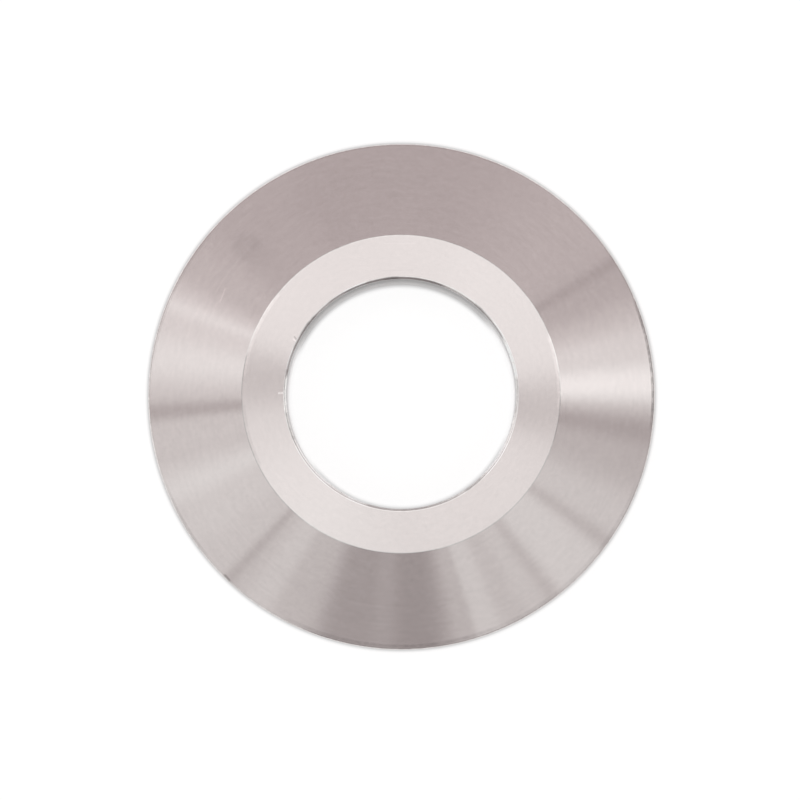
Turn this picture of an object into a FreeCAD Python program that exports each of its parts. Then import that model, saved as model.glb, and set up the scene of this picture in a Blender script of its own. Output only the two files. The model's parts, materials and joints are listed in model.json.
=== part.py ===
import FreeCAD, Part
import math
import os
import Sketcher

# Sanitary clamp end cap, bored through its middle.
# It is one disc turned from stainless bar. The sealing face lies on the XY plane, the
# axis is +Z, and the origin is where the axis meets the sealing face. Behind that face
# stands a short rim, then a conical shoulder that the clamp's jaws ride up, then a
# narrow flat land round the bore. How high the land stands follows from how far the
# shoulder climbs between the rim and the land. A round-bottomed groove in the sealing
# face holds the gasket's bead. All lengths are millimetres and the angle is in degrees.

# Alias, value and meaning of each driving dimension.
SIZES = [
    ("flange_diameter", 50.5, "outside of the rim"),
    ("rim_thickness", 2.85, "sealing face to the corner where the shoulder starts"),
    ("shoulder_angle", 20, "slope of the shoulder against the sealing face"),
    ("bore_diameter", 22.6, "straight bore right through"),
    ("land_width", 4.35, "bore to the corner where the shoulder ends"),
    ("groove_inset", 3.5, "rim to the middle of the gasket groove"),
    ("groove_depth", 1.4, "sealing face to the groove's bottom"),
    ("groove_radius", 2.35, "round section of the groove"),
    ("rim_radius", 0.3, "rounding where rim and shoulder meet"),
    ("shoulder_radius", 0.4, "rounding where shoulder and land meet"),
    ("edge_break", 0.2, "chamfer on the sealing side's edges and the bore's mouths"),
]
SHEET = "Sizes"
NODE = "end_cap"
# How a sketch numbers the points of a line or circle, and its own origin.
START, END, CENTRE = 1, 2, 3
ORIGIN = -1
# How far an edge may lie from where the sizes put it and still be the one looked for.
EDGE_MATCH = 0.001


def make_sheet(doc):
    """Write the driving dimensions into a spreadsheet, one named cell each."""
    sheet = doc.addObject("Spreadsheet::Sheet", SHEET)
    for row, (alias, value, meaning) in enumerate(SIZES, start=1):
        sheet.set(f"A{row}", alias)
        sheet.set(f"B{row}", str(value))
        sheet.set(f"C{row}", meaning)
        sheet.setAlias(f"B{row}", alias)
    doc.recompute()
    return sheet


def make_sketch(body, name, plane):
    """Add an empty sketch on one of the body's own origin planes."""
    sketch = body.newObject("Sketcher::SketchObject", name)
    origin_plane = next(f for f in body.Origin.OriginFeatures if f.Role == plane)
    sketch.AttachmentSupport = [(origin_plane, "")]
    sketch.MapMode = "FlatFace"
    return sketch


def relate(sketch, *relation):
    """Add a geometric constraint, such as Vertical, that has no size."""
    sketch.addConstraint(Sketcher.Constraint(*relation))


def dimension(sketch, name, expression, *measure):
    """Add a named dimension and bind its value to the spreadsheet."""
    index = sketch.addConstraint(Sketcher.Constraint(*measure))
    sketch.renameConstraint(index, name)
    sketch.setExpression(f".Constraints.{name}", expression)


def section_corners(sheet):
    """Sharp corners of the blank's half section, up the axis and then outwards and down."""
    flange_radius = sheet.flange_diameter / 2
    land_radius = sheet.bore_diameter / 2 + sheet.land_width
    slope = math.tan(math.radians(sheet.shoulder_angle))
    land_height = sheet.rim_thickness + (flange_radius - land_radius) * slope
    return [
        (0, 0),
        (0, land_height),
        (land_radius, land_height),
        (flange_radius, sheet.rim_thickness),
        (flange_radius, 0),
    ]


def round_section_corner(sketch, line, radius, alias):
    """Round the section where a line ends, keeping its sharp corner to measure to."""
    arc = sketch.GeometryCount
    sketch.fillet(line, END, radius, True, True)
    dimension(sketch, alias, f"{SHEET}.{alias}", "Radius", arc, radius)


def make_blank(body, sheet):
    """Turn the disc with its rim, conical shoulder and land."""
    sketch = make_sketch(body, "BlankSection", "XZ_Plane")
    corners = [FreeCAD.Vector(x, z, 0) for x, z in section_corners(sheet)]
    for start, end in zip(corners, corners[1:] + corners[:1]):
        sketch.addGeometry(Part.LineSegment(start, end), False)
    axis, land, shoulder, rim, face = range(len(corners))
    for line in range(len(corners)):
        following = (line + 1) % len(corners)
        relate(sketch, "Coincident", line, END, following, START)
    relate(sketch, "Coincident", axis, START, ORIGIN, START)
    relate(sketch, "Vertical", axis)
    relate(sketch, "Horizontal", land)
    relate(sketch, "Vertical", rim)
    relate(sketch, "Horizontal", face)

    _, _, land_corner, rim_corner, _ = corners
    land_radius = f"{SHEET}.bore_diameter / 2 + {SHEET}.land_width"
    flange_radius = f"{SHEET}.flange_diameter / 2"
    rim_thickness = f"{SHEET}.rim_thickness"
    land_span = ("DistanceX", land, START, land, END, land_corner.x)
    face_span = ("DistanceX", face, END, face, START, rim_corner.x)
    rim_span = ("DistanceY", rim, END, rim, START, rim_corner.y)
    dimension(sketch, "land_radius", land_radius, *land_span)
    dimension(sketch, "flange_radius", flange_radius, *face_span)
    dimension(sketch, "rim_thickness", rim_thickness, *rim_span)

    round_section_corner(sketch, land, sheet.shoulder_radius, "shoulder_radius")
    round_section_corner(sketch, shoulder, sheet.rim_radius, "rim_radius")
    downwards = math.radians(-sheet.shoulder_angle)
    slope = f"-{SHEET}.shoulder_angle * 1 deg"
    dimension(sketch, "shoulder_slope", slope, "Angle", shoulder, downwards)

    blank = body.newObject("PartDesign::Revolution", "Blank")
    blank.Profile = sketch
    blank.ReferenceAxis = (sketch, ["V_Axis"])
    return blank


def add_circle(sketch, x, y, radius):
    """Draw a circle in the sketch and return its number there."""
    centre = FreeCAD.Vector(x, y, 0)
    return sketch.addGeometry(Part.Circle(centre, FreeCAD.Vector(0, 0, 1), radius), False)


def make_bore(body, sheet):
    """Bore the disc right through along its axis."""
    sketch = make_sketch(body, "BoreCircle", "XY_Plane")
    circle = add_circle(sketch, 0, 0, sheet.bore_diameter / 2)
    relate(sketch, "Coincident", circle, CENTRE, ORIGIN, START)
    diameter = ("Diameter", circle, sheet.bore_diameter)
    dimension(sketch, "bore_diameter", f"{SHEET}.bore_diameter", *diameter)
    bore = body.newObject("PartDesign::Pocket", "Bore")
    bore.Profile = sketch
    bore.Type = "ThroughAll"
    bore.Reversed = True
    return bore


def groove_middle(sheet):
    """Radius of the gasket groove's middle, and how far its section's centre lies below the face."""
    return sheet.flange_diameter / 2 - sheet.groove_inset, sheet.groove_radius - sheet.groove_depth


def make_gasket_groove(body, sheet):
    """Plunge a round-nosed tool into the sealing face, near the rim."""
    sketch = make_sketch(body, "GrooveSection", "XZ_Plane")
    middle, below_face = groove_middle(sheet)
    nose = add_circle(sketch, middle, -below_face, sheet.groove_radius)
    inset = f"{SHEET}.flange_diameter / 2 - {SHEET}.groove_inset"
    sunk = f"{SHEET}.groove_radius - {SHEET}.groove_depth"
    radius = ("Radius", nose, sheet.groove_radius)
    from_axis = ("DistanceX", ORIGIN, START, nose, CENTRE, middle)
    from_face = ("DistanceY", nose, CENTRE, ORIGIN, START, below_face)
    dimension(sketch, "nose_radius", f"{SHEET}.groove_radius", *radius)
    dimension(sketch, "middle_radius", inset, *from_axis)
    dimension(sketch, "centre_below_face", sunk, *from_face)
    groove = body.newObject("PartDesign::Groove", "GasketGroove")
    groove.Profile = sketch
    groove.ReferenceAxis = (sketch, ["V_Axis"])
    return groove


def circular_edges(feature, radius, height):
    """Names of the feature's edges that are circles about Z of that radius and height."""
    names = []
    for number, edge in enumerate(feature.Shape.Edges, start=1):
        curve = edge.Curve
        if not isinstance(curve, Part.Circle):
            continue
        off_axis = math.hypot(curve.Center.x, curve.Center.y)
        misses = (off_axis, curve.Radius - radius, curve.Center.z - height)
        if all(abs(miss) < EDGE_MATCH for miss in misses):
            names.append(f"Edge{number}")
    if not names:
        raise ValueError(f"{feature.Name} has no edge of radius {radius} at height {height}")
    return names


def sharp_edges(sheet):
    """Radius and height of each edge that is broken: the rim's, the groove's and the bore's."""
    _, (_, land_height), _, _, (flange_radius, _) = section_corners(sheet)
    middle, below_face = groove_middle(sheet)
    half_width = math.sqrt(sheet.groove_radius**2 - below_face**2)
    bore_radius = sheet.bore_diameter / 2
    on_sealing_face = [flange_radius, middle + half_width, middle - half_width, bore_radius]
    return [(radius, 0) for radius in on_sealing_face] + [(bore_radius, land_height)]


def break_edges(body, base, sheet):
    """Take the sharpness off the turned edges with one small chamfer."""
    edges = [edge for place in sharp_edges(sheet) for edge in circular_edges(base, *place)]
    chamfer = body.newObject("PartDesign::Chamfer", "BrokenEdges")
    chamfer.Base = (base, edges)
    chamfer.setExpression("Size", f"{SHEET}.edge_break")
    return chamfer


def check_cut(before, after):
    """Stop if a cutting feature took nothing away."""
    if after.Shape.Volume >= before.Shape.Volume:
        raise ValueError(f"{after.Name} cuts nothing")


def make_end_cap(doc, sheet):
    """Build the end cap, feature by feature, in the order that a lathe would cut it."""
    body = doc.addObject("PartDesign::Body", "EndCap")
    body.Label = NODE
    body.Placement = FreeCAD.Placement()
    blank = make_blank(body, sheet)
    doc.recompute()
    bore = make_bore(body, sheet)
    doc.recompute()
    check_cut(blank, bore)
    groove = make_gasket_groove(body, sheet)
    doc.recompute()
    check_cut(bore, groove)
    broken = break_edges(body, groove, sheet)
    doc.recompute()
    check_cut(groove, broken)
    body.Tip = broken
    return body


def check_document(doc):
    """Stop if any object of the document failed to rebuild."""
    for item in doc.Objects:
        if "Invalid" in item.State or "Error" in item.State:
            raise ValueError(f"{item.Label} failed: {item.State}")


def write_part(body):
    """Write the finished solid to parts/, named after its label."""
    shape = body.Shape
    if shape.isNull() or not shape.isValid() or len(shape.Solids) != 1:
        raise ValueError(f"{body.Label} is not one valid solid")
    os.makedirs("parts", exist_ok=True)
    shape.exportStep(f"parts/{body.Label}.step")
    box = shape.optimalBoundingBox()
    lengths = f"{box.XLength:.3f} x {box.YLength:.3f} x {box.ZLength:.3f} mm"
    print(f"{body.Label}: {lengths}, {shape.Volume:.1f} mm3, faces {len(shape.Faces)}")


def main():
    doc = FreeCAD.newDocument("SanitaryClampEndCap")
    sheet = make_sheet(doc)
    end_cap = make_end_cap(doc, sheet)
    doc.recompute()
    check_document(doc)
    write_part(end_cap)


main()
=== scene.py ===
"""How the sanitary clamp end cap looks: one ring of turned stainless steel, bored through.

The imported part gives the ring's place and outer sizes. Its half section is drawn again here
with the small roundings that a lathe leaves, is swept round the axis into one closed surface,
and gets a finish of its own wherever another tool did the cutting. A light tent, a white
floor and the camera stand round it.

Lengths are metres. Angles in the fields of the classes are degrees.
"""

import json
import logging
import math
from abc import ABC, abstractmethod
from collections.abc import Mapping
from dataclasses import dataclass
from enum import Enum
from typing import ClassVar

import bpy
import numpy as np
from mathutils import Matrix, Vector

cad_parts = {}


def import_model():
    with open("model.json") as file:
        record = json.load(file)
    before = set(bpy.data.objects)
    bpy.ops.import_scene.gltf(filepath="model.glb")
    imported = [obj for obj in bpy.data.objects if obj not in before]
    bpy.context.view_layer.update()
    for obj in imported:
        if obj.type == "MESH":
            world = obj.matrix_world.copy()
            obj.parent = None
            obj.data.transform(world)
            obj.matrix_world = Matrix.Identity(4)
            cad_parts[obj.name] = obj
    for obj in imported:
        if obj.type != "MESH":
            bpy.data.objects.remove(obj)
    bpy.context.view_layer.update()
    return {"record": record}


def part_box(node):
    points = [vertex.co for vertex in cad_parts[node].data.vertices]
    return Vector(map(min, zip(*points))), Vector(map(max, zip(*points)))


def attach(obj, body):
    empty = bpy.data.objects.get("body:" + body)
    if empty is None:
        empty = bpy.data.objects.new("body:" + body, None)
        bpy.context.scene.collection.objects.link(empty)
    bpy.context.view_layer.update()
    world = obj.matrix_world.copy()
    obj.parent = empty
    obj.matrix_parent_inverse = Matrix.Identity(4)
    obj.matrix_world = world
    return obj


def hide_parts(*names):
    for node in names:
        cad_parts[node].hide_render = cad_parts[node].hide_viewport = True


NODE = "end_cap"
BODY = "root"
MM = 0.001
MICRON = 0.001 * MM
FLOAT, VECTOR = "NodeSocketFloat", "NodeSocketVector"
LEVEL_PLANE = (1.0, 1.0, 0.0)
QUARTER_TURN = 0.25
Triple = tuple[float, float, float]
Sockets = Mapping[str | int, bpy.types.NodeSocket]
log = logging.getLogger("end_cap")


def smooth_step(share: np.ndarray) -> np.ndarray:
    """Ease a share that runs from 0 to 1: three times its square less twice its cube.

    Args:
        share: Values of any size. Those outside 0 to 1 are held at the nearer end.

    Returns:
        The eased values, from 0 to 1.
    """
    held = np.clip(share, 0.0, 1.0)
    return held * held * (3.0 - 2.0 * held)


def window(distance: np.ndarray, half_width: float, edge: float) -> np.ndarray:
    """Say how far places lie inside a band: 1 within it, 0 outside, eased across its edge.

    Args:
        distance: Distance of each place from the band's middle, in any unit.
        half_width: From the middle to the middle of the edge, in the same unit.
        edge: How wide the edge is, in the same unit.

    Returns:
        The mask, from 0 to 1.
    """
    return smooth_step((half_width + edge / 2.0 - np.abs(distance)) / edge)


def turned_grid(radii: np.ndarray, heights: np.ndarray, columns: int) -> np.ndarray:
    """Turn the points of a half section round the axis.

    A point goes to its radius times the cosine and the sine of each angle, at its height.

    Args:
        radii: Distance of each point from the axis.
        heights: Height of each point.
        columns: How many angles there are, evenly round the axis.

    Returns:
        The turned points, all places of the first one before those of the next.
    """
    angles = np.arange(columns) * (2.0 * math.pi / columns)
    level = np.repeat(heights[:, None], columns, axis=1)
    turned = [radii[:, None] * np.cos(angles), radii[:, None] * np.sin(angles), level]
    return np.stack(turned, axis=2).reshape(-1, 3)


def joined_rows(rows: np.ndarray, next_rows: np.ndarray, columns: int) -> np.ndarray:
    """Join rows of vertices, each of them a closed circle, to other rows by quads.

    Args:
        rows: Numbers of the rows.
        next_rows: The row that each of them is joined to.
        columns: How many vertices a row has.

    Returns:
        Four vertex numbers for each quad, row by row.
    """
    row, next_row = rows[:, None] * columns, next_rows[:, None] * columns
    column = np.arange(columns)[None, :]
    beside = np.roll(column, -1, axis=1)
    ring = [row + column, next_row + column, next_row + beside, row + beside]
    return np.stack(ring, axis=2).reshape(-1, 4)


def add_object(name: str, data: bpy.types.ID) -> bpy.types.Object:
    """Make an object of a mesh or a camera and link it to the scene."""
    made = bpy.data.objects.new(name, data)
    bpy.context.scene.collection.objects.link(made)
    return made


def add_mesh(name: str, vertices: np.ndarray, faces: list[list[int]],
             materials: list[bpy.types.Material]) -> bpy.types.Object:
    """Make an object of vertices, faces and the materials that its faces may have."""
    mesh = bpy.data.meshes.new(name)
    mesh.from_pydata(vertices.tolist(), [], faces)
    for material in materials:
        mesh.materials.append(material)
    return add_object(name, mesh)


class Finish(Enum):
    """Which tool made a stretch of the section. Its place here is its material's number."""

    LAND = 0
    SHOULDER = 1
    RIM = 2
    BORE = 3
    SEALING_FACE = 4
    GROOVE = 5
    BROKEN_EDGE = 6
    ROUNDED_CORNER = 7


@dataclass(frozen=True)
class SectionCorner:
    """A corner of the ring's half section, with the stretch that follows it."""

    radius: float
    height: float
    rounding: float
    following: Finish
    arc: Finish = Finish.BROKEN_EDGE


@dataclass
class SectionLine:
    """The section's outline as points: places, outward normals and the finish after each."""

    places: np.ndarray
    normals: np.ndarray
    finishes: np.ndarray

    def lengths_along(self) -> np.ndarray:
        """Give the distance walked from the first point to each point and back to the first."""
        steps = np.roll(self.places, -1, axis=0) - self.places
        return np.concatenate([[0.0], np.cumsum(np.hypot(steps[:, 0], steps[:, 1]))])


@dataclass
class TurnedSection:
    """The half section of the ring, drawn as a lathe cuts it."""

    flange_radius: float
    height: float
    bore_radius: float
    rim_thickness: float = 2.85 * MM
    shoulder_angle: float = 20.0
    groove_inset: float = 3.5 * MM
    groove_depth: float = 1.4 * MM
    groove_radius: float = 2.35 * MM
    rim_rounding: float = 0.3 * MM
    shoulder_rounding: float = 0.4 * MM
    edge_break: float = 0.2 * MM
    burr_rounding: float = 0.05 * MM
    mouth_rounding: float = 0.2 * MM
    lip_rounding: float = 0.2 * MM
    arc_step: float = 6.0
    run_step: float = 1.2 * MM

    @classmethod
    def from_frame(cls, record: dict) -> "TurnedSection":
        """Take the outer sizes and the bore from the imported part.

        Args:
            record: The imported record, whose mounts give the bore's radius in millimetres.

        Returns:
            The section with those sizes.
        """
        _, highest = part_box(NODE)
        bore = next(mount for mount in record["mounts"] if mount["name"] == "bore")
        return cls(highest.x, highest.z, bore["dims"]["r_mm"] * MM)

    def land_radius(self) -> float:
        """Give the radius of the sharp corner where the shoulder's slope reaches the land."""
        climb = self.height - self.rim_thickness
        return self.flange_radius - climb / math.tan(math.radians(self.shoulder_angle))

    def groove_corners(self) -> list[SectionCorner]:
        """Draw the gasket groove: a lip, the round bottom and the other lip.

        The bottom is the rounding between the two lines that touch the nose's circle where it
        cuts the sealing face. They meet over the groove's middle, at the circle's centre plus
        its radius over the cosine of the angle that half the groove spans.

        Returns:
            The three corners, from the rim inwards.
        """
        middle = self.flange_radius - self.groove_inset
        centre = self.groove_depth - self.groove_radius
        half_angle = math.acos(-centre / self.groove_radius)
        half_width = self.groove_radius * math.sin(half_angle)
        apex = centre + self.groove_radius / math.cos(half_angle)
        groove, face, edge = Finish.GROOVE, Finish.SEALING_FACE, Finish.BROKEN_EDGE
        return [
            SectionCorner(middle + half_width, 0.0, self.lip_rounding, groove, edge),
            SectionCorner(middle, apex, self.groove_radius, groove, groove),
            SectionCorner(middle - half_width, 0.0, self.lip_rounding, face, edge),
        ]

    def corners(self) -> list[SectionCorner]:
        """List the corners: up the bore, out over the land, down the rim, in along the face."""
        bore, rim, top, cut = self.bore_radius, self.flange_radius, self.height, self.edge_break
        burr, edge, rounded = self.burr_rounding, Finish.BROKEN_EDGE, Finish.ROUNDED_CORNER
        return [
            SectionCorner(bore, cut, burr, Finish.BORE),
            SectionCorner(bore, top - cut, burr, edge),
            SectionCorner(bore + cut, top, self.mouth_rounding, Finish.LAND),
            SectionCorner(self.land_radius(), top, self.shoulder_rounding, Finish.SHOULDER, rounded),
            SectionCorner(rim, self.rim_thickness, self.rim_rounding, Finish.RIM, rounded),
            SectionCorner(rim, cut, burr, edge),
            SectionCorner(rim - cut, 0.0, burr, Finish.SEALING_FACE),
            *self.groove_corners(),
            SectionCorner(bore + cut, 0.0, burr, edge),
        ]

    def corner_arc(self, place: np.ndarray, before: np.ndarray, after: np.ndarray,
                   rounding: float) -> tuple[np.ndarray, np.ndarray]:
        """Round one corner: a circle's arc that touches both stretches.

        The outward side is on the left of the walk. The arc starts the rounding times the
        tangent of half the turn before the corner, and each of its points is its centre plus
        the normal there, scaled by the rounding, or less it in a hollow.

        Args:
            place: The corner.
            before: Unit direction of the stretch that leads to it.
            after: Unit direction of the stretch that leaves it.
            rounding: Radius of the arc.

        Returns:
            The arc's points and their outward normals.
        """
        turn = math.atan2(before[0] * after[1] - before[1] * after[0], float(before @ after))
        bulge = rounding if turn < 0.0 else -rounding
        start = place - before * rounding * math.tan(abs(turn) / 2.0)
        first = math.atan2(before[0], -before[1])
        steps = max(2, math.ceil(abs(math.degrees(turn)) / self.arc_step))
        angles = first + np.linspace(0.0, turn, steps + 1)
        normals = np.column_stack([np.cos(angles), np.sin(angles)])
        return start - bulge * normals[0] + bulge * normals, normals

    def outline(self) -> SectionLine:
        """Walk round the section: each corner's arc, then the straight stretch after it."""
        corners = self.corners()
        spots = np.array([[corner.radius, corner.height] for corner in corners])
        ways = np.roll(spots, -1, axis=0) - spots
        ways /= np.linalg.norm(ways, axis=1, keepdims=True)
        arcs = [
            self.corner_arc(spots[k], ways[k - 1], ways[k], corner.rounding)
            for k, corner in enumerate(corners)
        ]
        places, normals, finishes = [], [], []
        for k, corner in enumerate(corners):
            arc, arc_normals = arcs[k]
            next_start = arcs[(k + 1) % len(arcs)][0][0]
            run = next_start - arc[-1]
            pieces = max(1, round(float(np.hypot(*run)) / self.run_step))
            shares = np.arange(1, pieces)[:, None] / pieces
            places += [arc, arc[-1] + shares * run]
            normals += [arc_normals, np.repeat(arc_normals[-1:], pieces - 1, axis=0)]
            finishes += [corner.arc.value] * (len(arc) - 1) + [corner.following.value] * pieces
        return SectionLine(np.vstack(places), np.vstack(normals), np.array(finishes))


@dataclass
class TurnedRing:
    """The ring itself: the section swept round the axis into one closed surface."""

    section: TurnedSection
    columns: int = 480
    name: str = "end_cap_turned"
    uv_name: str = "OFBake"
    uv_margin: float = 0.002

    def unwrapped(self, line: SectionLine) -> np.ndarray:
        """Lay the surface flat: the angle round the axis across, the walk along the section up."""
        lengths = line.lengths_along()
        along, across = lengths / lengths[-1], np.arange(self.columns + 1) / self.columns
        grid = np.stack(np.meshgrid(along, across, indexing="ij")[::-1], axis=2)
        corners = [grid[:-1, :-1], grid[1:, :-1], grid[1:, 1:], grid[:-1, 1:]]
        flat = np.stack(corners, axis=2).reshape(-1, 2)
        return self.uv_margin + flat * (1.0 - 2.0 * self.uv_margin)

    def build(self, materials: list[bpy.types.Material]) -> None:
        """Make the ring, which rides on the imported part's body in the node's stead.

        Args:
            materials: One material for each finish, in the order of Finish.
        """
        line = self.section.outline()
        vertices, normals = (
            turned_grid(*flat.T, self.columns) for flat in (line.places, line.normals)
        )
        rows = np.arange(len(line.places))
        quads = joined_rows(rows, np.roll(rows, -1), self.columns)
        ring = add_mesh(self.name, vertices, quads.tolist(), materials)
        mesh = ring.data
        numbers = np.repeat(line.finishes, self.columns).astype(np.int32)
        mesh.polygons.foreach_set("material_index", numbers)
        mesh.polygons.foreach_set("use_smooth", np.ones(len(numbers), dtype=bool))
        layer = mesh.uv_layers.new(name=self.uv_name)
        layer.uv.foreach_set("vector", self.unwrapped(line).astype(np.float32).ravel())
        mesh.normals_split_custom_set_from_vertices(normals.tolist())
        mesh.update()
        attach(ring, BODY)
        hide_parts(NODE)
        log.info("%s: %d faces, %d points in its section", self.name, len(quads), len(rows))


class GroupBuilder:
    """A shader node group, or a material's own tree, with short ways to add to it.

    A group has sockets by name: those at its entry give what comes in, those at its exit take
    what goes out. A material has none.
    """

    def __init__(self, tree: bpy.types.NodeTree) -> None:
        """Work on a node tree."""
        self.tree = tree
        self.entry: Sockets = {}
        self.exit: Sockets = {}

    @classmethod
    def material(cls, name: str) -> tuple[bpy.types.Material, "GroupBuilder"]:
        """Start a material with an empty tree, and give it and the tree's builder."""
        made = bpy.data.materials.new(name)
        made.use_nodes = True
        made.node_tree.nodes.clear()
        return made, cls(made.node_tree)

    @classmethod
    def group(cls, name: str, inputs: dict[str, str], outputs: dict[str, str]) -> "GroupBuilder":
        """Start a node group with named sockets.

        Args:
            name: The group's name.
            inputs: Socket type of each input, by name.
            outputs: Socket type of each output, by name.

        Returns:
            The builder of the new group.
        """
        tree = bpy.data.node_groups.new(name, "ShaderNodeTree")
        for in_out, sockets in (("INPUT", inputs), ("OUTPUT", outputs)):
            for socket, kind in sockets.items():
                tree.interface.new_socket(socket, in_out=in_out, socket_type=kind)
        made = cls(tree)
        made.entry = tree.nodes.new("NodeGroupInput").outputs
        made.exit = tree.nodes.new("NodeGroupOutput").inputs
        return made

    def node(self, kind: str, settings: dict[str, object] | None = None,
             **values: object) -> bpy.types.Node:
        """Add a node.

        Args:
            kind: Its type.
            settings: Its own properties, by name.
            values: A number, a vector or another node's socket for each of its inputs, by
                name with spaces as underscores, or by place as input_0 and so on.

        Returns:
            The node.
        """
        made = self.tree.nodes.new(kind)
        for name, value in (settings or {}).items():
            setattr(made, name, value)
        for name, value in values.items():
            place = name.removeprefix("input_")
            socket = int(place) if place.isdigit() else name.replace("_", " ")
            self.feed(made.inputs[socket], value)
        return made

    def call(self, group: bpy.types.NodeTree, **values: object) -> Sockets:
        """Use a node group and give its outputs."""
        return self.node("ShaderNodeGroup", {"node_tree": group}, **values).outputs

    def feed(self, socket: bpy.types.NodeSocket, value: object) -> None:
        """Link a socket to a node's output, or set it to a value."""
        if isinstance(value, bpy.types.NodeSocket):
            self.tree.links.new(value, socket)
        else:
            socket.default_value = value

    def worked(self, kind: str, operation: str, *values: object) -> Sockets:
        """Add a node that works on its inputs in turn, and give its outputs."""
        inputs = {f"input_{place}": value for place, value in enumerate(values)}
        return self.node(kind, {"operation": operation}, **inputs).outputs

    def math(self, operation: str, *values: object) -> bpy.types.NodeSocket:
        """Work out one number from others."""
        return self.worked("ShaderNodeMath", operation, *values)[0]

    def vector(self, operation: str, *values: object) -> bpy.types.NodeSocket:
        """Work out a vector from others."""
        return self.worked("ShaderNodeVectorMath", operation, *values)[0]

    def length(self, value: object) -> bpy.types.NodeSocket:
        """Measure a vector."""
        return self.worked("ShaderNodeVectorMath", "LENGTH", value)[1]

    def dot(self, one: object, other: object) -> bpy.types.NodeSocket:
        """Multiply two vectors into one number."""
        return self.worked("ShaderNodeVectorMath", "DOT_PRODUCT", one, other)[1]

    def scaled(self, value: object, factor: object) -> bpy.types.NodeSocket:
        """Scale a vector."""
        return self.node("ShaderNodeVectorMath", {"operation": "SCALE"}, input_0=value,
                         Scale=factor).outputs[0]

    def coordinate(self, value: object, axis: str) -> bpy.types.NodeSocket:
        """Take one coordinate of a vector."""
        return self.node("ShaderNodeSeparateXYZ", Vector=value).outputs[axis]

    def place(self) -> bpy.types.NodeSocket:
        """Give the place on the object."""
        return self.node("ShaderNodeTexCoord").outputs["Object"]

    def blend(self, factor: object, first: Triple, second: Triple) -> bpy.types.NodeSocket:
        """Blend one colour into another."""
        return self.node("ShaderNodeMix", {"data_type": "RGBA"}, Factor=factor, A=(*first, 1.0),
                         B=(*second, 1.0)).outputs["Result"]

    def span(self, value: object, low: object, high: object, to_low: float = 0.0,
             to_high: float = 1.0) -> bpy.types.NodeSocket:
        """Map a value smoothly from one span to another, held at both ends."""
        return self.node(
            "ShaderNodeMapRange",
            {"interpolation_type": "SMOOTHSTEP"},
            Value=value, From_Min=low, From_Max=high, To_Min=to_low, To_Max=to_high,
        ).outputs[0]

    def band(self, gap: object, width: object, edge: float = 0.5) -> bpy.types.NodeSocket:
        """Draw a line with soft edges.

        Args:
            gap: Distance from the line's middle.
            width: Distance between the middles of its edges.
            edge: How wide an edge is, as a share of the width.

        Returns:
            The mask: 1 in the line and 0 outside.
        """
        share = self.math("DIVIDE", gap, width)
        return self.span(share, 0.5 - edge / 2.0, 0.5 + edge / 2.0, 1.0, 0.0)

    def noise(self, kind: str, detail: float = 2.0, **values: object) -> bpy.types.NodeSocket:
        """Add a noise of one to four dimensions and give its value."""
        return self.node(
            "ShaderNodeTexNoise", {"noise_dimensions": kind}, Detail=detail, **values
        ).outputs[0]

    def stretched_noise(self, around: bpy.types.NodeSocket, turns: float,
                        along: bpy.types.NodeSocket, fineness: float) -> bpy.types.NodeSocket:
        """Add a noise with a grain of its own round the axis and another along the cut.

        Args:
            around: Unit vector from the axis.
            turns: How many grains fit in a radian round the axis.
            along: Distance along the cut, in marks.
            fineness: How many grains fit in a mark.

        Returns:
            The noise, about 0.5.
        """
        return self.noise("4D", Vector=self.scaled(around, turns), Scale=1.0,
                          W=self.math("MULTIPLY", along, fineness))


class Effect(Enum):
    """Which mask a mark on the steel has. Its value is the name of the group that draws it."""

    BLOTCH = "cloudy blotch"
    LINE = "short line"
    ARC = "worn arc"


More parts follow.
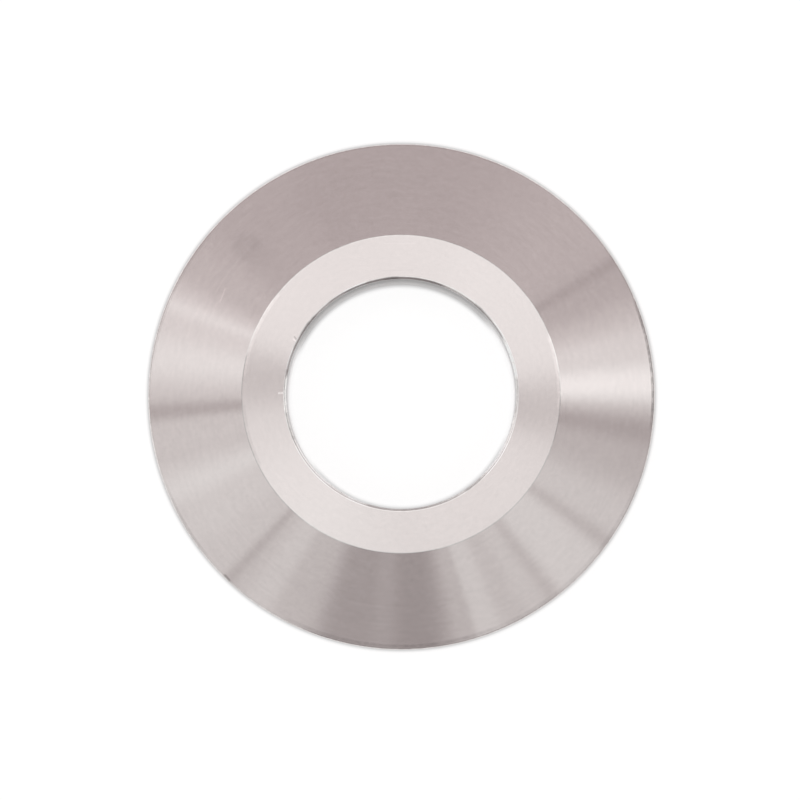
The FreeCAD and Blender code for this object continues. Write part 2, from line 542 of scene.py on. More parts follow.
class SurfaceEffects:
    """The node groups that the finishes share, each built once.

    Grain is how many grains of a noise fit in a metre, turns how many fit in a radian round
    the axis, and fineness how many fit in a mark. A pair is a span of the noise's value, which
    mostly lies near a half, and the pair after it is what that span becomes.
    """

    metal_grain = 2.4 / MM
    # The arc grain here, and the arc span and strength below, break up painted light along round
    # edges.
    arc_grain = 2.2 / MM
    ring_share = 0.3
    dash_turns, dash_fineness = 14.0, 0.5
    slow_turns, slow_fineness = 1.6, 0.03
    slow_span, mark_strength = (0.35, 0.65), (0.5, 1.0)
    cloud_span, stain_strength = (0.25, 0.75), (0.4, 1.0)
    wear_span, wear_strength = (0.3, 0.7), (0.65, 1.35)
    stain_fades_from = 0.3

    def __init__(self) -> None:
        """Build the groups, with those that draw the mask of a mark by its effect."""
        self.lathe = self.lathe_coordinates()
        self.turning = self.turning_marks()
        self.masks = {
            Effect.BLOTCH: self.cloudy_blotch(),
            Effect.LINE: self.short_line(),
            Effect.ARC: self.painted_light_arc(),
        }

    @staticmethod
    def lathe_coordinates() -> bpy.types.NodeTree:
        """Turn a position into what a lathe knows: the way along the cut and round the axis.

        The way along the cut is the radius less the height, which grows along the land, down
        the shoulder and the rim, and out along the sealing face. Round is the unit vector
        from the axis, which has no seam.
        """
        made = GroupBuilder.group(
            "lathe coordinates", {"Position": VECTOR}, {"Along": FLOAT, "Round": VECTOR}
        )
        position = made.entry["Position"]
        flat = made.vector("MULTIPLY", position, LEVEL_PLANE)
        height = made.coordinate(position, "Z")
        made.feed(made.exit["Along"], made.math("SUBTRACT", made.length(flat), height))
        made.feed(made.exit["Round"], made.vector("NORMALIZE", flat))
        return made.tree

    def turning_marks(self) -> bpy.types.NodeTree:
        """Draw the marks that the tool leaves.

        Rings are noise along the cut at the feed's pitch. Dashes are noise half as fine along
        the cut and drawn out round the axis, so that each ring waves and breaks up. The height
        of both fades in and out with a slow noise. The tone also has that noise and the
        metal's own fine grain.
        """
        made = GroupBuilder.group(
            "turning marks",
            {"Position": VECTOR, "Pitch": FLOAT, "Seed": FLOAT},
            {"Height": FLOAT, "Tone": FLOAT},
        )
        position = made.entry["Position"]
        lathe = made.call(self.lathe, Position=position)
        counted = made.math("DIVIDE", lathe["Along"], made.entry["Pitch"])
        shifted = made.math("ADD", counted, made.entry["Seed"])
        rings = made.noise("1D", W=shifted, Scale=1.0)
        dashes = made.stretched_noise(lathe["Round"], self.dash_turns, shifted, self.dash_fineness)
        slow = made.stretched_noise(lathe["Round"], self.slow_turns, shifted, self.slow_fineness)
        strength = made.span(slow, *self.slow_span, *self.mark_strength)
        both = made.math("MULTIPLY_ADD", rings, self.ring_share, dashes)
        marks = made.math("SUBTRACT", both, (1.0 + self.ring_share) / 2.0)
        made.feed(made.exit["Height"], made.math("MULTIPLY", marks, strength))
        grain = made.noise("3D", detail=3.0, Vector=position, Scale=self.metal_grain)
        tone = made.math("ADD", made.math("ADD", grain, slow), marks)
        made.feed(made.exit["Tone"], made.math("SUBTRACT", tone, 1.0))
        return made.tree

    def cloudy_blotch(self) -> bpy.types.NodeTree:
        """Draw a smudge that fades out from its centre and is broken up by noise."""
        made = GroupBuilder.group(
            Effect.BLOTCH.value,
            {"Position": VECTOR, "Centre": VECTOR, "Reach": FLOAT, "Grain": FLOAT},
            {"Mask": FLOAT},
        )
        position = made.entry["Position"]
        offset = made.vector("SUBTRACT", position, made.entry["Centre"])
        share = made.math("DIVIDE", made.length(offset), made.entry["Reach"])
        near = made.span(share, self.stain_fades_from, 1.0, 1.0, 0.0)
        cloud = made.noise("3D", Vector=position, Scale=made.entry["Grain"])
        broken = made.span(cloud, *self.cloud_span, *self.stain_strength)
        made.feed(made.exit["Mask"], made.math("MULTIPLY", near, broken))
        return made.tree

    @staticmethod
    def short_line() -> bpy.types.NodeTree:
        """Draw a scratch, or a line of painted highlight: how near a place is to the straight line
        between two others.

        The nearest place on the line is its start plus the line times the share found by
        projecting the place onto it, held between 0 and 1.
        """
        made = GroupBuilder.group(
            Effect.LINE.value,
            {"Position": VECTOR, "From": VECTOR, "To": VECTOR, "Width": FLOAT},
            {"Mask": FLOAT},
        )
        line = made.vector("SUBTRACT", made.entry["To"], made.entry["From"])
        offset = made.vector("SUBTRACT", made.entry["Position"], made.entry["From"])
        along = made.math("DIVIDE", made.dot(offset, line), made.dot(line, line))
        share = made.node("ShaderNodeClamp", Value=along).outputs[0]
        gap = made.length(made.vector("SUBTRACT", offset, made.scaled(line, share)))
        made.feed(made.exit["Mask"], made.band(gap, made.entry["Width"]))
        return made.tree

    def painted_light_arc(self) -> bpy.types.NodeTree:
        """Draw painted light along a round edge: a band at one radius, on either side of its middle.

        Where it ends is told by the cosine of the angle from its middle. Noise makes it uneven
        about its full strength.
        """
        made = GroupBuilder.group(
            Effect.ARC.value,
            {"Position": VECTOR, "Middle": VECTOR, "Ends": FLOAT, "Full": FLOAT, "Radius": FLOAT,
             "Width": FLOAT},
            {"Mask": FLOAT},
        )
        position = made.entry["Position"]
        flat = made.vector("MULTIPLY", position, LEVEL_PLANE)
        gap = made.math("ABSOLUTE", made.math("SUBTRACT", made.length(flat), made.entry["Radius"]))
        cosine = made.dot(made.vector("NORMALIZE", flat), made.entry["Middle"])
        within = made.span(cosine, made.entry["Ends"], made.entry["Full"])
        cloud = made.noise("3D", Vector=position, Scale=self.arc_grain)
        strength = made.span(cloud, *self.wear_span, *self.wear_strength)
        uneven = made.math("MULTIPLY", made.band(gap, made.entry["Width"]), strength)
        made.feed(made.exit["Mask"], made.math("MULTIPLY", within, uneven))
        return made.tree


class Mark(ABC):
    """Something that brightens the steel's colour by its gain, or darkens it, within a mask."""

    effect: ClassVar[Effect]
    gain: float

    @abstractmethod
    def inputs(self) -> dict[str, object]:
        """Give the inputs of the node group that draws the mask."""


@dataclass(frozen=True)
class Blotch(Mark):
    """A faint stain: where it is, how far it reaches and how fine its clouds are."""

    effect = Effect.BLOTCH
    centre: Triple
    reach: float
    grain: float
    gain: float

    def inputs(self) -> dict[str, object]:
        """Give its centre, reach and grain."""
        return {"Centre": self.centre, "Reach": self.reach, "Grain": self.grain}


@dataclass(frozen=True)
class ShortLine(Mark):
    """A scratch or nick, or a line of painted highlight: its ends and its width."""

    effect = Effect.LINE
    start: Triple
    end: Triple
    width: float
    gain: float

    def inputs(self) -> dict[str, object]:
        """Give its ends and its width."""
        return {"From": self.start, "To": self.end, "Width": self.width}


@dataclass(frozen=True)
class PaintedLightArc(Mark):
    """Painted light along a round edge, from one azimuth to another: highlight where the gain is
    positive, shade where negative.
    """

    effect = Effect.ARC
    start: float
    stop: float
    gain: float
    radius: float
    width: float
    fade: float = 3.0

    def inputs(self) -> dict[str, object]:
        """Give its place and width, with the cosines at which the painted light ends and is full."""
        middle = math.radians((self.start + self.stop) / 2.0)
        half = (self.stop - self.start) / 2.0
        return {
            "Middle": (math.cos(middle), math.sin(middle), 0.0),
            "Ends": math.cos(math.radians(half + self.fade / 2.0)),
            "Full": math.cos(math.radians(half - self.fade / 2.0)),
            "Radius": self.radius,
            "Width": self.width,
        }


@dataclass(frozen=True)
class RougheningAndShade:
    """How a finish gets rougher with height and darker by painted shade, from nothing at start to
    all of it at end.
    """

    start: float
    end: float
    painted_shade: float
    roughening: float


@dataclass(frozen=True)
class SteelFinish:
    """How one stretch of the steel was cut, in colour, gloss and tool marks."""

    finish: Finish
    colour: Triple
    roughness: float
    mark_depth: float
    seed: float
    anisotropy: float = 0.9
    pitch: float = 0.15 * MM
    tone: float = 0.08
    marks: tuple[Mark, ...] = ()
    roughening_and_shade: RougheningAndShade | None = None
    uneven_gloss: float = 0.1

    def material(self, effects: SurfaceEffects) -> bpy.types.Material:
        """Make the material: metal whose gloss spreads across the tool marks.

        Args:
            effects: The shared node groups.

        Returns:
            The material.
        """
        made, build = GroupBuilder.material(f"steel {self.finish.name.lower().replace('_', ' ')}")
        position = build.place()
        turned = build.call(effects.turning, Position=position, Pitch=self.pitch, Seed=self.seed)
        gain = build.math("ADD", build.math("MULTIPLY", turned["Tone"], self.tone), 1.0)
        for mark in self.marks:
            drawn = build.call(effects.masks[mark.effect], Position=position, **mark.inputs())
            gain = build.math("MULTIPLY_ADD", drawn["Mask"], mark.gain, gain)
        rough = build.math("MULTIPLY_ADD", turned["Tone"], self.uneven_gloss * self.roughness,
                           self.roughness)
        if self.roughening_and_shade:
            # Rougher with height, and darker by painted shade towards the top.
            height = build.coordinate(position, "Z")
            share = build.span(height, self.roughening_and_shade.start, self.roughening_and_shade.end)
            gain = build.math("MULTIPLY_ADD", share, -self.roughening_and_shade.painted_shade, gain)
            rough = build.math("MULTIPLY_ADD", share, self.roughening_and_shade.roughening, rough)
        bump = build.node("ShaderNodeBump", Strength=1.0, Distance=self.mark_depth,
                          Height=turned["Height"])
        steel = build.node("ShaderNodeBsdfPrincipled", Base_Color=build.scaled(self.colour, gain),
                           Roughness=rough, Normal=bump.outputs[0], Metallic=1.0,
                           Anisotropic=self.anisotropy, Anisotropic_Rotation=QUARTER_TURN)
        build.node("ShaderNodeOutputMaterial", Surface=steel.outputs[0])
        return made


STEEL = (0.79, 0.738, 0.731)
# The bore's steel is lighter than the rest; painted shade in its finish darkens it towards the
# mouth.
BORE_STEEL = (0.92, 0.90, 0.90)
# The broken edges' steel is lighter than the rest: a painted highlight along them.
EDGE_HIGHLIGHT_STEEL = (0.885, 0.868, 0.86)
CORNER_STEEL = (0.695, 0.668, 0.66)


def in_metres(place: Triple) -> Triple:
    """Turn a place from millimetres into metres."""
    return tuple(length * MM for length in place)


def marked_line(start: Triple, end: Triple, width: float, gain: float) -> ShortLine:
    """Make a scratch, a nick or a line of painted highlight from millimetres."""
    return ShortLine(in_metres(start), in_metres(end), width * MM, gain)


def land_lines() -> tuple[ShortLine, ...]:
    """List the nicks by the bore's left edge and two deeper turning marks behind it."""
    return (
        marked_line((-12.0, 0.05, 6.34), (-11.4, 0.09, 6.34), 0.2, 0.33),
        marked_line((-10.48, 5.61, 6.34), (-10.28, 5.34, 6.34), 0.16, -0.2),
        marked_line((-10.56, 5.34, 6.34), (-10.34, 5.15, 6.34), 0.16, 0.14),
        marked_line((-1.9, 12.12, 6.34), (1.2, 12.2, 6.34), 0.12, -0.025),
        marked_line((-1.6, 14.78, 6.34), (1.4, 14.8, 6.34), 0.12, 0.025),
    )


def corner_lines() -> tuple[ShortLine, ...]:
    """List where the shoulder's corner is painted brighter, a painted highlight: upper left, right
    and back.
    """
    return (
        marked_line((-10.3, 11.8, 6.33), (-13.0, 8.75, 6.33), 1.6, 0.04),
        marked_line((-13.0, 8.75, 6.33), (-15.0, 4.5, 6.33), 1.6, 0.2),
        marked_line((15.6, 0.4, 6.33), (14.8, 5.1, 6.33), 1.6, 0.25),
        marked_line((1.6, 15.55, 6.33), (-4.0, 15.1, 6.33), 1.6, 0.07),
    )


def shoulder_lines() -> tuple[ShortLine, ...]:
    """List the fine scratch at the shoulder's upper left and the nick at its rim below."""
    return (
        marked_line((-17.46, 10.51, 4.62), (-17.94, 9.26, 4.69), 0.16, 0.1),
        marked_line((-17.5, -17.9, 2.93), (-17.09, -18.39, 2.93), 0.28, -0.32),
    )


def shoulder_stains() -> tuple[Blotch, ...]:
    """List the two faint stains that run into each other at the shoulder's upper left."""
    return (
        Blotch(in_metres((-15.4, 14.9, 4.3)), reach=2.0 * MM, grain=0.7 / MM, gain=-0.085),
        Blotch(in_metres((-14.1, 13.6, 4.9)), reach=2.4 * MM, grain=0.9 / MM, gain=-0.05),
    )


def mouth_arcs() -> tuple[PaintedLightArc, ...]:
    """List where the bore's upper edge is painted darker as shade or brighter as a highlight."""
    wear = (
        (8, 26, 0.2), (28, 38, 0.24), (44, 50, -0.2), (92, 98, -0.25), (108, 119, 0.32),
        (139, 149, -0.18), (158, 167, 0.22), (189, 203, -0.18), (207, 232, 0.2),
        (243, 252, 0.2), (304, 313, -0.22), (317, 334, 0.18),
    )
    return tuple(PaintedLightArc(*run, radius=11.4 * MM, width=2.0 * MM) for run in wear)


def land_arcs() -> tuple[PaintedLightArc, ...]:
    """List where the land is painted brighter as a highlight, or darker as shade, just inside the
    shoulder's corner.
    """
    wear = ((141, 173, 0.1), (-5, 21, 0.11), (184, 207, -0.08))
    return tuple(PaintedLightArc(*run, radius=15.55 * MM, width=0.4 * MM) for run in wear)


def rim_arcs() -> tuple[PaintedLightArc, ...]:
    """List the painted light at the rim's upper corner: a bright outer line of painted highlight,
    and darker runs of painted shade inside it.
    """
    return (
        PaintedLightArc(-90, 90, 0.28, 25.17 * MM, 0.16 * MM),
        PaintedLightArc(90, 270, 0.28, 25.17 * MM, 0.16 * MM),
        PaintedLightArc(245, 290, -0.14, 24.86 * MM, 0.3 * MM, 10.0),
        PaintedLightArc(292, 337, -0.09, 24.92 * MM, 0.36 * MM, 10.0),
        PaintedLightArc(-6, 21, -0.34, 25.0 * MM, 0.26 * MM, 6.0),
        PaintedLightArc(140, 172, -0.1, 25.02 * MM, 0.3 * MM, 6.0),
        PaintedLightArc(202, 218, -0.12, 25.02 * MM, 0.3 * MM, 6.0),
    )


def turned_finishes() -> list[SteelFinish]:
    """List the finishes, one for each tool's work, in the order of Finish."""
    rough_and_shaded = RougheningAndShade(start=0.6 * MM, end=5.6 * MM, painted_shade=0.6, roughening=0.08)
    shoulder_marks = shoulder_stains() + shoulder_lines() + rim_arcs()
    corner_marks = shoulder_lines() + corner_lines() + rim_arcs()
    return [
        SteelFinish(Finish.LAND, STEEL, roughness=0.21, mark_depth=4 * MICRON, seed=3.0,
                    anisotropy=1.0, tone=0.075, marks=land_lines() + land_arcs()),
        SteelFinish(Finish.SHOULDER, STEEL, roughness=0.16, mark_depth=3 * MICRON, seed=17.0,
                    anisotropy=1.0, pitch=0.3 * MM, tone=0.09, marks=shoulder_marks),
        SteelFinish(Finish.RIM, STEEL, roughness=0.3, mark_depth=8 * MICRON, seed=29.0),
        SteelFinish(Finish.BORE, BORE_STEEL, roughness=0.12, mark_depth=4 * MICRON, seed=41.0,
                    pitch=0.16 * MM, tone=0.05, roughening_and_shade=rough_and_shaded),
        SteelFinish(Finish.SEALING_FACE, STEEL, roughness=0.25, mark_depth=8 * MICRON, seed=53.0,
                    anisotropy=1.0),
        SteelFinish(Finish.GROOVE, STEEL, roughness=0.3, mark_depth=6 * MICRON, seed=61.0,
                    pitch=0.12 * MM),
        # The edges and corners have a strong tone that draws flecks along them: partly the metal's
        # grain, partly painted glints.
        SteelFinish(Finish.BROKEN_EDGE, EDGE_HIGHLIGHT_STEEL, roughness=0.14, mark_depth=1 * MICRON,
                    seed=73.0, anisotropy=0.8, pitch=0.12 * MM, tone=0.28, marks=mouth_arcs()),
        SteelFinish(Finish.ROUNDED_CORNER, CORNER_STEEL, roughness=0.16, mark_depth=4 * MICRON,
                    seed=89.0, tone=0.24, marks=corner_marks),
    ]


@dataclass(frozen=True)
class Panel:
    """A soft-edged patch of the light tent.

    Start and stop are the azimuths, in degrees anticlockwise from +X, at which the ring shows
    the patch. Top and bottom are how far down from straight above it reaches, in degrees too.
    """

    name: str
    start: float
    stop: float
    edge: float
    level: float
    top: float = 30.0
    bottom: float = 68.0
    fade: float = 8.0

    def mask(self, azimuth: np.ndarray, zenith: np.ndarray) -> np.ndarray:
        """Say where the patch is: the product of a window round the axis and one up the dome."""
        away = (azimuth - (self.start + self.stop) / 2.0 + 180.0) % 360.0 - 180.0
        across = window(away, (self.stop - self.start) / 2.0, self.edge)
        middle, half_height = (self.top + self.bottom) / 2.0, (self.bottom - self.top) / 2.0
        return across * window(zenith - middle, half_height, self.fade)


@dataclass
class LightTent:
    """A dome of white cloth round the ring, lit from outside. The camera doesn't see it.

    Its walls light the shoulder and its ceiling lights the land. Each is lit by panels laid
    over one another in turn, and what hangs below the walls is dark.
    """

    walls: list[Panel]
    ceiling: list[Panel]
    hangings: list[Panel]
    radius: float = 0.9
    columns: int = 1440
    rows: int = 95
    highest: float = 0.5
    lowest: float = 94.0
    ceiling_level: float = 1.075
    wall_level: float = 0.72
    skirt_level: float = 0.07
    wall_top: float = 30.0
    wall_bottom: float = 62.0
    hem: float = 6.0
    lean: float = 3.5
    middle_lean: float = 3.0
    dim_cloth: Triple = (1.0, 0.84, 0.85)
    bright_cloth: Triple = (1.0, 1.0, 1.0)
    front_cast: Triple = (0.99, 1.012, 1.0)
    back_cast: Triple = (1.02, 0.985, 0.978)
    cast_depths: tuple[float, float] = (-0.35, 0.6)

    @staticmethod
    def lay(panels: list[Panel], level: np.ndarray, azimuth: np.ndarray,
            zenith: np.ndarray) -> None:
        """Lay panels over the cloth in turn, so that each brings it to its own level."""
        for panel in panels:
            mask = panel.mask(azimuth, zenith)
            level += (panel.level - level) * mask
            log.debug("%s covers %d places", panel.name, np.count_nonzero(mask))

    def below(self, start: float, zenith: np.ndarray) -> np.ndarray:
        """Say what hangs below a zenith angle: 1 there, 0 above it, eased across the hem."""
        return smooth_step((zenith - start) / self.hem + 0.5)

    def levels(self, azimuth: np.ndarray, zenith: np.ndarray) -> np.ndarray:
        """Work out how bright the cloth is.

        The camera leans towards the viewer, so the shoulder shows each wall turned by the lean
        times the cosine of its azimuth, and the land shows the ceiling about a point that lies
        the middle's lean behind straight above.

        Args:
            azimuth: Degrees anticlockwise from +X, for each vertex.
            zenith: Degrees down from straight above, for each vertex.

        Returns:
            The brightness, where 1 is white.
        """
        turn = np.radians(azimuth)
        beside, behind = zenith * np.cos(turn), zenith * np.sin(turn) - self.middle_lean
        round_middle = np.degrees(np.arctan2(behind, beside))
        from_middle = np.hypot(beside, behind)
        level = np.full(azimuth.shape, self.ceiling_level)
        self.lay(self.ceiling, level, round_middle, from_middle)
        level += (self.wall_level - level) * self.below(self.wall_top, zenith)
        self.lay(self.walls, level, azimuth - self.lean * np.cos(turn), zenith)
        level += (self.skirt_level - level) * self.below(self.wall_bottom, zenith)
        self.lay(self.hangings, level, azimuth, zenith)
        return level

    def build(self) -> None:
        """Make the dome, an arc from its crown to its hem turned round, with its brightness."""
        zenith = np.linspace(self.highest, self.lowest, self.rows)
        azimuth = np.arange(self.columns) * (360.0 / self.columns)
        down, turn = np.meshgrid(zenith, azimuth, indexing="ij")
        fall = np.radians(zenith)
        vertices = turned_grid(self.radius * np.sin(fall), self.radius * np.cos(fall), self.columns)
        rows = np.arange(self.rows - 1)
        quads = joined_rows(rows, rows + 1, self.columns)
        tent = add_mesh("light_tent", vertices, quads.tolist(), [self.cloth()])
        tent.data.polygons.foreach_set("use_smooth", np.ones(len(quads), dtype=bool))
        glow = tent.data.attributes.new("level", "FLOAT", "POINT")
        glow.data.foreach_set("value", self.levels(turn, down).astype(np.float32).ravel())
        tent.visible_camera = False

    def cloth(self) -> bpy.types.Material:
        """Make the tent's cloth: it glows by its level, and is pinker where dim and at the back."""
        made, build = GroupBuilder.material("tent cloth")
        level = build.node("ShaderNodeAttribute", {"attribute_name": "level"}).outputs["Fac"]
        tint = build.blend(level, self.dim_cloth, self.bright_cloth)
        depth = build.coordinate(build.place(), "Y")
        cast = build.blend(build.span(depth, *self.cast_depths), self.front_cast, self.back_cast)
        glow = build.node("ShaderNodeEmission", Color=build.vector("MULTIPLY", tint, cast),
                          Strength=level)
        build.node("ShaderNodeOutputMaterial", Surface=glow.outputs[0])
        made.cycles.emission_sampling = "NONE"
        return made


@dataclass(frozen=True)
class Fringe:
    """The narrow shadow painted on one piece of the floor, where the ring touches it.

    The painted shadow's level is 1 from the radius where it is clear and falls to the touch level
    at the radius where the ring touches the floor, both about its middle. The glow says how much
    of the white that metal mirrors there doesn't depend on light. It has another value towards
    the sheltered side, where it paints shade into what metal mirrors, and the touch level has one
    both there and on the side opposite. The shelter starts and is full at shares of the touch
    radius.
    """

    name: str
    touch: float
    clear: float
    touch_level: float
    glow: float
    middle: Triple = (0.0, 0.0, 0.0)
    shelter: Triple = (0.0, 0.0, 0.0)
    sheltered_level: float = 1.0
    sheltered_glow: float = 0.0
    shelter_starts: float = 0.4
    shelter_full: float = 0.64


def outer_fringe() -> Fringe:
    """Give the painted shadow round the rim."""
    middle = in_metres((-0.03, 0.135, 0.0))
    return Fringe("white floor", touch=25.3 * MM, clear=25.9 * MM, touch_level=0.45, glow=0.38,
                  middle=middle)


def bore_fringe() -> Fringe:
    """Give the painted shadow inside the bore, deeper where its back wall shelters the floor."""
    return Fringe("white floor in the bore", touch=11.4 * MM, clear=10.85 * MM, touch_level=0.92,
                  glow=0.6, shelter=(-0.12, 0.99, 0.0), sheltered_level=0.6, sheltered_glow=0.3)


@dataclass
class Floor:
    """A white floor with a gap under the ring, so that the sealing face can be seen from below."""

    reach: float = 1.5
    gap_inner: float = 12.0 * MM
    gap_outer: float = 24.4 * MM
    hub: float = 0.5 * MM
    drop: float = 0.01 * MM
    columns: int = 256
    glow: float = 0.84
    reflecting: float = 0.3
    mirrored_reflecting: float = 0.65

    def build(self) -> None:
        """Make a disc inside the gap, joined round a small hub, and a wide ring outside it."""
        radii = np.array([self.hub, self.gap_inner, self.gap_outer, self.reach])
        vertices = turned_grid(radii, np.full(len(radii), -self.drop), self.columns)
        inner_rows = np.array([0, 2])
        quads = joined_rows(inner_rows, inner_rows + 1, self.columns)
        faces = [list(range(self.columns)), *quads.tolist()]
        paints = [self.paint(fringe) for fringe in (outer_fringe(), bore_fringe())]
        floor = add_mesh("floor", vertices, faces, paints)
        inside = np.arange(len(faces)) <= self.columns
        floor.data.polygons.foreach_set("material_index", inside.astype(np.int32))

    def paint(self, fringe: Fringe) -> bpy.types.Material:
        """Make the floor white to the camera, with the ring's faint shadow painted into it.

        The painted shadow is deepest in a narrow fringe where the ring touches the floor. What metal
        mirrors of the floor is white too, but has more of the painted shadow. Its back is clear, so
        that a view from below shows the sealing face.

        Args:
            fringe: The painted shadow next to the ring.

        Returns:
            The material.
        """
        made, build = GroupBuilder.material(fringe.name)
        path = build.node("ShaderNodeLightPath").outputs
        seen = build.math("MAXIMUM", path["Is Camera Ray"], path["Is Transmission Ray"])
        mirrored = path["Is Glossy Ray"]
        place = build.place()
        towards = build.dot(place, fringe.shelter)
        start, full = fringe.shelter_starts * fringe.touch, fringe.shelter_full * fringe.touch
        sheltered = build.span(towards, start, full)
        either_side = build.span(build.math("ABSOLUTE", towards), start, full)
        depth = build.math("MULTIPLY_ADD", either_side, fringe.touch_level - fringe.sheltered_level,
                           1.0 - fringe.touch_level)
        from_middle = build.length(build.vector("SUBTRACT", place, fringe.middle))
        nearness = build.span(from_middle, fringe.clear, fringe.touch)
        # Painted shadow: the glow and the floor's colour dim by distance from the ring, not by the
        # light that reaches it.
        lit = build.math("SUBTRACT", 1.0, build.math("MULTIPLY", nearness, depth))
        strength = build.math("MULTIPLY", build.math("MULTIPLY", seen, self.glow), lit)
        mirrored_glow = build.math("MULTIPLY_ADD", sheltered, fringe.sheltered_glow - fringe.glow,
                                   fringe.glow)
        strength = build.math("MULTIPLY_ADD", mirrored, mirrored_glow, strength)
        shade = build.math("MULTIPLY_ADD", mirrored, self.mirrored_reflecting - self.reflecting,
                           build.math("MULTIPLY", lit, self.reflecting))
        dull = build.node("ShaderNodeBsdfDiffuse", Color=shade)
        glow = build.node("ShaderNodeEmission", Strength=strength)
        white = build.node("ShaderNodeAddShader", input_0=dull.outputs[0], input_1=glow.outputs[0])
        clear = build.node("ShaderNodeBsdfTransparent")
        back = build.node("ShaderNodeNewGeometry").outputs["Backfacing"]
        both = build.node("ShaderNodeMixShader", input_0=back, input_1=white.outputs[0],
                          input_2=clear.outputs[0])
        build.node("ShaderNodeOutputMaterial", Surface=both.outputs[0])
        made.cycles.emission_sampling = "NONE"
        return made


@dataclass
class Camera:
    """The camera of the photograph: nearly straight above, a little towards the viewer."""

    lens: float = 113.0
    sensor: float = 36.0
    target: Triple = (-0.136 * MM, -0.445 * MM, 2.7 * MM)
    distance: float = 250.2 * MM
    elevation: float = 87.05
    azimuth: float = 281.0
    nearest: float = 0.01
    farthest: float = 10.0

    def build(self) -> None:
        """Stand the camera at its distance from the target, aimed there with +Y upwards."""
        made = bpy.data.cameras.new("camera")
        made.lens, made.sensor_width = self.lens, self.sensor
        made.clip_start, made.clip_end = self.nearest, self.farthest
        camera = add_object("camera", made)
        rise, turn = math.radians(self.elevation), math.radians(self.azimuth)
        across = math.cos(rise)
        back = Vector((across * math.cos(turn), across * math.sin(turn), math.sin(rise)))
        side = Vector((0.0, 1.0, 0.0)).cross(back).normalized()
        camera.location = Vector(self.target) + back * self.distance
        camera.rotation_mode = "QUATERNION"
        axes = Matrix((side, back.cross(side), back)).transposed()
        camera.rotation_quaternion = axes.to_quaternion()
        bpy.context.scene.camera = camera


def ceiling_panels() -> list[Panel]:
    """List the tent's ceiling panels: its soft boxes, then the dim gap between them."""
    patches = (
        ("back soft box", 8.7, 161.5, 10, 1.2),
        ("its right part", 22, 84, 20, 1.16),
        ("its left part", 126, 161.5, 12, 1.24),
        ("front right soft box", 254, 345, 20, 0.835),
        ("its left end", 258, 282, 16, 0.925),
        ("its left fold", 236, 262, 14, 1.0),
        ("its right end", 314, 344, 13, 0.845),
        ("gap's left edge", 184, 205, 10, 0.86),
        ("gap's left end", 165, 184, 8, 0.557),
        ("gap's right end", 343, 365, 8, 0.54),
    )
    return [Panel(*patch, top=2.0, bottom=34.0, fade=4.0) for patch in patches]


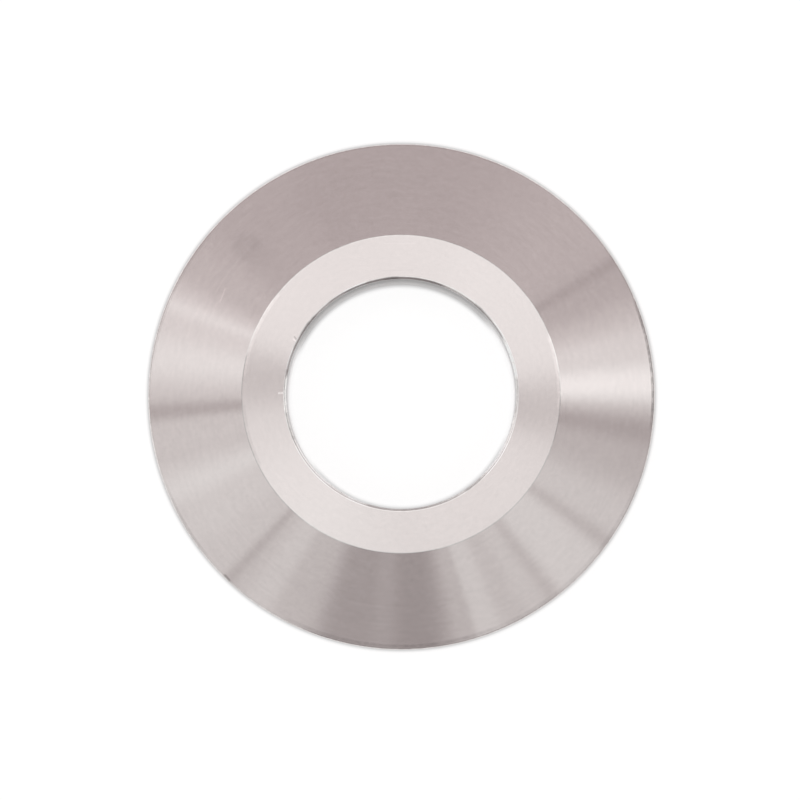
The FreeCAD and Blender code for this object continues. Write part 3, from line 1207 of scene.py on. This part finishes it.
def wall_panels() -> list[Panel]:
    """List the tent's wall panels, each laid over those before it."""
    return [
        Panel("back wall", 22, 148, 19, 0.513),
        Panel("back wall, right part", 26, 62, 34, 0.592),
        Panel("back wall, left part", 118, 148, 12, 0.55),
        Panel("back wall, left fold", 141.2, 156, 14, 0.637),
        Panel("right light's hem", 10, 22.4, 8, 0.73),
        Panel("right light's fringe", 8, 17, 6, 0.90),
        Panel("right light", -0.8, 7.9, 6, 1.17),
        Panel("back right seam", 31.8, 34.0, 2, 0.44),
        Panel("left light's fringe", 153.9, 179, 8.5, 0.88),
        Panel("left light's rib", 157, 159.2, 3, 1.03),
        Panel("left light", 166, 174, 8, 1.03),
        Panel("left seam", 181.7, 185.0, 2.5, 0.51),
        Panel("left seam's edge", 185.8, 187.8, 1.5, 0.78),
        Panel("left cloth", 188, 193, 3, 0.75),
        Panel("front left light", 198, 206, 10, 0.91),
        Panel("front left cloth", 207, 238, 4, 0.795),
        Panel("front left cloth's hang", 216, 230, 6, 0.745),
        Panel("front left cloth's end", 230.4, 237.6, 5, 0.745),
        Panel("front left seam's lee", 226, 231, 3, 0.69),
        Panel("front left seam", 225, 227, 1.2, 0.50),
        Panel("front left edge", 237.6, 247, 4, 0.625),
        Panel("opening", 248.5, 281.8, 9, 0.433, 22),
        Panel("opening's middle", 262, 267, 4, 0.48, 22),
        Panel("opening's right", 268.5, 277.2, 3, 0.4, 22),
        Panel("opening's flap", 285.1, 286.8, 7, 0.53),
        Panel("front right light", 286.9, 293.4, 0.8, 0.785),
        Panel("front right fold", 293.4, 300, 4, 0.685),
        Panel("front right cloth", 300, 306, 4, 0.74),
        Panel("front right seam", 305.2, 308.4, 2.5, 0.62),
        Panel("right lower light", 309, 322, 3.5, 0.82),
        Panel("right lower seam", 323.2, 326, 2, 0.6),
        Panel("right lower cloth", 326.6, 337, 4, 0.76),
        Panel("right cloth", 338, 351, 12, 0.61),
        Panel("right seam", 349, 355, 5, 0.485),
    ]


def hanging_panels() -> list[Panel]:
    """List what hangs at the tent's crown and below its walls, which only the edges show."""
    crown = Panel("crown, front left", 188, 226, 10, 0.6, top=20.0, bottom=32.0, fade=4.0)
    flaps = (
        ("flap, back", 40, 140, 14, 0.36),
        ("flap, back left", 140, 184, 8, 0.48),
        ("flap, left", 184, 246, 8, 0.85),
        ("flap, front", 250, 304, 8, 0.27),
        ("flap, right end", 308, 356, 6, 0.45),
    )
    skirts = (
        ("skirt, back right", 8, 76, 8, 1.25),
        ("skirt, right", 354, 370, 5, 1.3),
        ("skirt, back", 76, 108, 10, 0.85),
        ("skirt, back left", 108, 168, 10, 1.35),
        ("skirt, left", 168, 206, 8, 1.0),
        ("skirt, front left", 207, 232, 6, 0.26),
        ("skirt, front left end", 233, 248, 6, 0.42),
        ("skirt, front", 248, 298, 8, 0.22),
        ("skirt, front right", 300, 320, 6, 0.48),
        ("skirt, right end", 320, 353, 6, 0.34),
    )
    return [
        crown,
        *(Panel(*flap, top=62.0, bottom=82.0, fade=6.0) for flap in flaps),
        *(Panel(*skirt, top=82.0, bottom=99.0, fade=4.0) for skirt in skirts),
    ]


def white_world() -> None:
    """Surround everything with plain white."""
    world = bpy.data.worlds.new("white")
    bpy.context.scene.world = world
    world.use_nodes = True
    shade = next(node for node in world.node_tree.nodes if node.type == "BACKGROUND")
    shade.inputs["Color"].default_value = (1.0, 1.0, 1.0, 1.0)
    shade.inputs["Strength"].default_value = 1.0


def main() -> None:
    """Load the frame, then build the ring, its surroundings and the camera."""
    logging.basicConfig(level=logging.INFO, format="%(name)s: %(message)s")
    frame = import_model()
    bpy.context.scene.view_settings.view_transform = "Standard"
    effects = SurfaceEffects()
    materials = [finish.material(effects) for finish in turned_finishes()]
    TurnedRing(TurnedSection.from_frame(frame["record"])).build(materials)
    white_world()
    LightTent(wall_panels(), ceiling_panels(), hanging_panels()).build()
    Floor().build()
    Camera().build()


if __name__ == "__main__":
    main()
